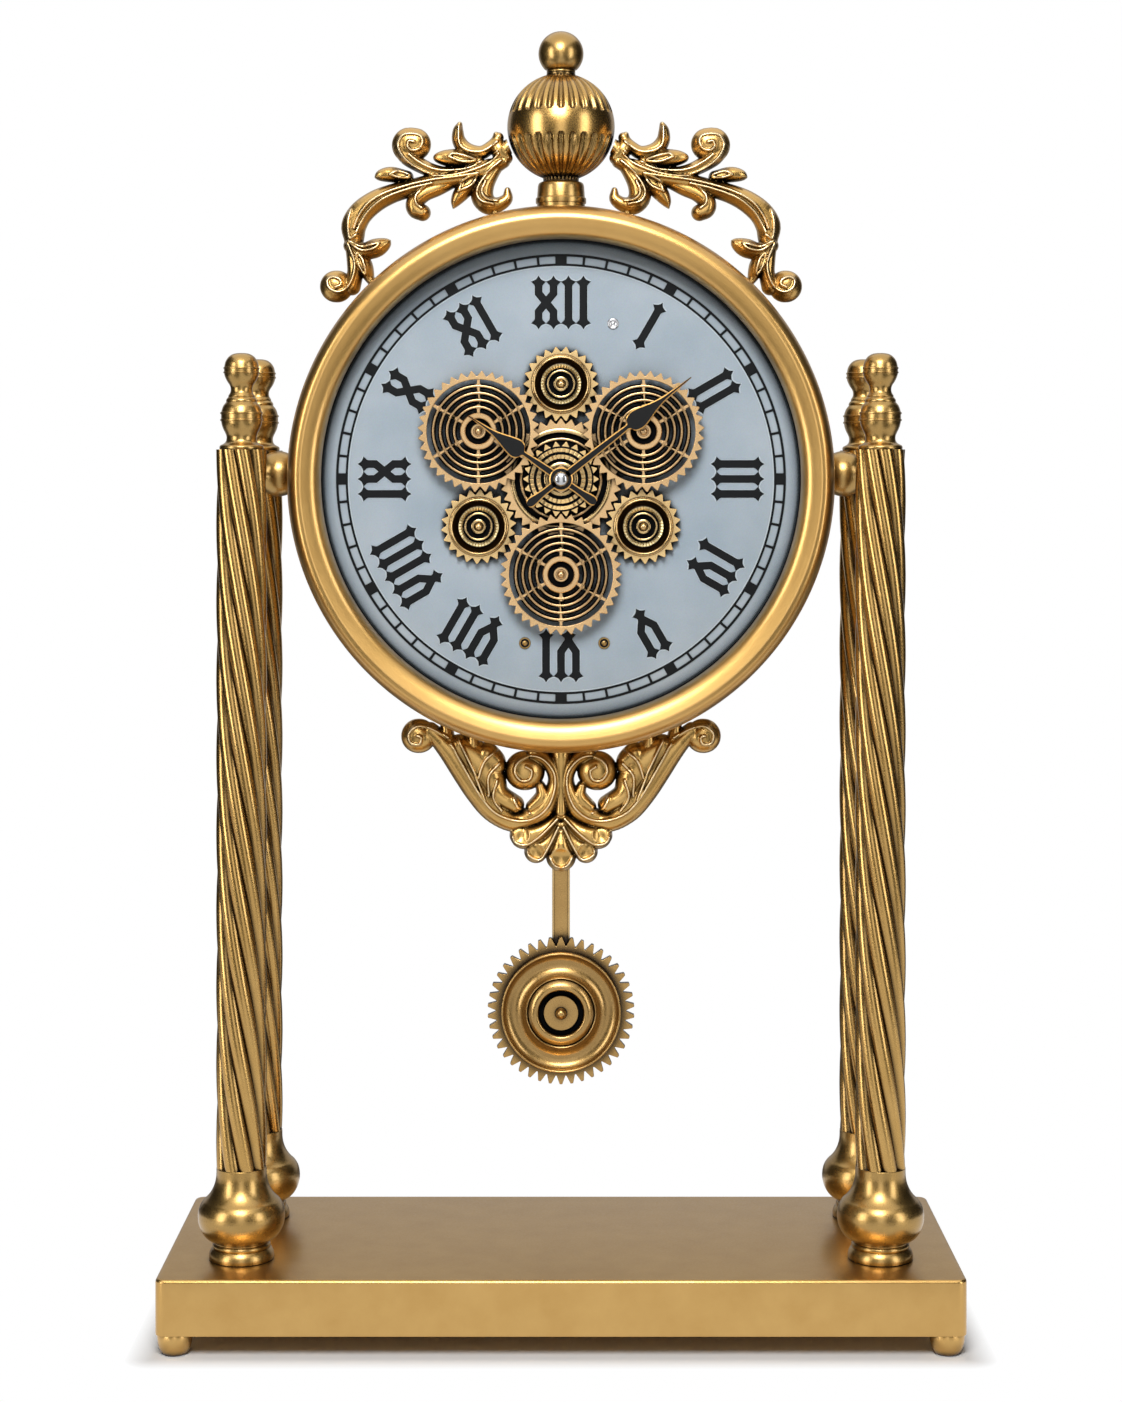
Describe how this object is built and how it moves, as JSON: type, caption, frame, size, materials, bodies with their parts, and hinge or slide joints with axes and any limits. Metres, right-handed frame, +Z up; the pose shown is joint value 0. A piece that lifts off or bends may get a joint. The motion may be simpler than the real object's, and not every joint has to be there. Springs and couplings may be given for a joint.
{
  "type": "table clock",
  "caption": "Pendulum table clock: round drum hung between twisted columns on a box base, toothed show wheels on the dial, scroll crest, and a swinging toothed bob.",
  "frame": {"origin": "on the table, under the middle of the base", "axes": "+Z up, front towards -Y, +X to the viewer's right"},
  "size_m": [0.3896, 0.15, 0.6475],
  "materials": {
    "gold_lacquer": "satin gold lacquer",
    "bronze_lacquer": "dull bronze lacquer",
    "bright_steel": "plated",
    "dial_paint": "matt grey-blue paint",
    "black_paint": "satin black paint",
    "black_plastic": "fine moulded texture",
    "cell_wrap": "plain printed sleeve"
  },
  "bodies": {
    "stand": {"base_shell": "gold_lacquer", "base_bottom_plate": "gold_lacquer", "foot_front_left": "gold_lacquer", "foot_front_right": "gold_lacquer", "foot_rear_left": "gold_lacquer", "foot_rear_right": "gold_lacquer", "column_base_front_left": "gold_lacquer", "column_shaft_front_left": "gold_lacquer", "column_finial_front_left": "gold_lacquer", "column_base_front_right": "gold_lacquer", "column_shaft_front_right": "gold_lacquer", "column_finial_front_right": "gold_lacquer", "column_base_rear_left": "gold_lacquer", "column_shaft_rear_left": "gold_lacquer", "column_finial_rear_left": "gold_lacquer", "column_base_rear_right": "gold_lacquer", "column_shaft_rear_right": "gold_lacquer", "column_finial_rear_right": "gold_lacquer", "trunnion_ball_left": "gold_lacquer", "trunnion_ball_right": "gold_lacquer", "case_shell": "gold_lacquer", "bezel": "gold_lacquer", "rear_ring": "gold_lacquer", "crest_scroll_left": "gold_lacquer", "crest_scroll_right": "gold_lacquer", "finial_collar": "gold_lacquer", "finial_globe": "gold_lacquer", "finial_knob": "gold_lacquer", "lower_bracket": "gold_lacquer", "tie_rod_front_left": "bright_steel", "tie_rod_front_right": "bright_steel", "tie_rod_rear_left": "bright_steel", "tie_rod_rear_right": "bright_steel", "cross_rod_left": "bright_steel", "cross_rod_right": "bright_steel", "trunnion_bolt_left": "bright_steel", "trunnion_bolt_right": "bright_steel", "finial_stud": "bright_steel", "bushing_nut": "bright_steel", "dial_plate": "dial_paint", "movement_case": "black_plastic", "drive_unit": "black_plastic", "movement_cell": "cell_wrap", "drive_cell": "cell_wrap"},
    "centre_wheel": {"centre_wheel": "bronze_lacquer"},
    "cup_wheel_top": {"cup_wheel_top": "gold_lacquer"},
    "cup_wheel_left": {"cup_wheel_left": "gold_lacquer"},
    "cup_wheel_right": {"cup_wheel_right": "gold_lacquer"},
    "grille_wheel_left": {"grille_wheel_left": "bronze_lacquer"},
    "grille_wheel_right": {"grille_wheel_right": "bronze_lacquer"},
    "grille_wheel_lower": {"grille_wheel_lower": "bronze_lacquer"},
    "hour_hand": {"hour_hand": "black_paint"},
    "minute_hand": {"minute_hand": "black_paint", "hand_nut": "bright_steel"},
    "set_knob": {"set_knob": "black_plastic"},
    "pendulum": {"pendulum_rod": "gold_lacquer", "bob_gear": "bronze_lacquer", "bob_dish": "gold_lacquer", "bob_cap": "gold_lacquer"}
  },
  "joints": [
    {"name": "centre_wheel_spin", "type": "hinge", "parent": "stand", "child": "centre_wheel", "pos_m": [0, 0, 0.4209], "axis": [0, 1, 0], "continuous": true},
    {"name": "cup_wheel_top_spin", "type": "hinge", "parent": "stand", "child": "cup_wheel_top", "pos_m": [0, 0, 0.46846], "axis": [0, 1, 0], "continuous": true},
    {"name": "cup_wheel_left_spin", "type": "hinge", "parent": "stand", "child": "cup_wheel_left", "pos_m": [-0.04119, 0, 0.39712], "axis": [0, 1, 0], "continuous": true},
    {"name": "cup_wheel_right_spin", "type": "hinge", "parent": "stand", "child": "cup_wheel_right", "pos_m": [0.04119, 0, 0.39712], "axis": [0, 1, 0], "continuous": true},
    {"name": "grille_wheel_left_spin", "type": "hinge", "parent": "stand", "child": "grille_wheel_left", "pos_m": [-0.04119, 0, 0.44468], "axis": [0, 1, 0], "continuous": true},
    {"name": "grille_wheel_right_spin", "type": "hinge", "parent": "stand", "child": "grille_wheel_right", "pos_m": [0.04119, 0, 0.44468], "axis": [0, 1, 0], "continuous": true},
    {"name": "grille_wheel_lower_spin", "type": "hinge", "parent": "stand", "child": "grille_wheel_lower", "pos_m": [0, 0, 0.37334], "axis": [0, 1, 0], "continuous": true},
    {"name": "minute_hand_turn", "type": "hinge", "parent": "stand", "child": "minute_hand", "pos_m": [0, 0, 0.4209], "axis": [0, 1, 0], "continuous": true},
    {"name": "hour_hand_turn", "type": "hinge", "parent": "stand", "child": "hour_hand", "pos_m": [0, 0, 0.4209], "axis": [0, 1, 0], "continuous": true},
    {"name": "set_knob_turn", "type": "hinge", "parent": "stand", "child": "set_knob", "pos_m": [0.014, 0, 0.4069], "axis": [0, 1, 0], "continuous": true},
    {"name": "pendulum_swing", "type": "hinge", "parent": "stand", "child": "pendulum", "pos_m": [0, 0, 0.3489], "axis": [0, 1, 0], "range_deg": [-6, 6]}
  ],
  "couplings": [
    {"joint": "cup_wheel_top_spin", "follows": "centre_wheel_spin", "ratio": -1.6364},
    {"joint": "cup_wheel_left_spin", "follows": "centre_wheel_spin", "ratio": -1.6364},
    {"joint": "cup_wheel_right_spin", "follows": "centre_wheel_spin", "ratio": -1.6364},
    {"joint": "grille_wheel_left_spin", "follows": "centre_wheel_spin", "ratio": -0.61111},
    {"joint": "grille_wheel_right_spin", "follows": "centre_wheel_spin", "ratio": -0.61111},
    {"joint": "grille_wheel_lower_spin", "follows": "centre_wheel_spin", "ratio": -0.61111},
    {"joint": "hour_hand_turn", "follows": "minute_hand_turn", "ratio": 0.083333},
    {"joint": "set_knob_turn", "follows": "minute_hand_turn", "ratio": -3}
  ]
}
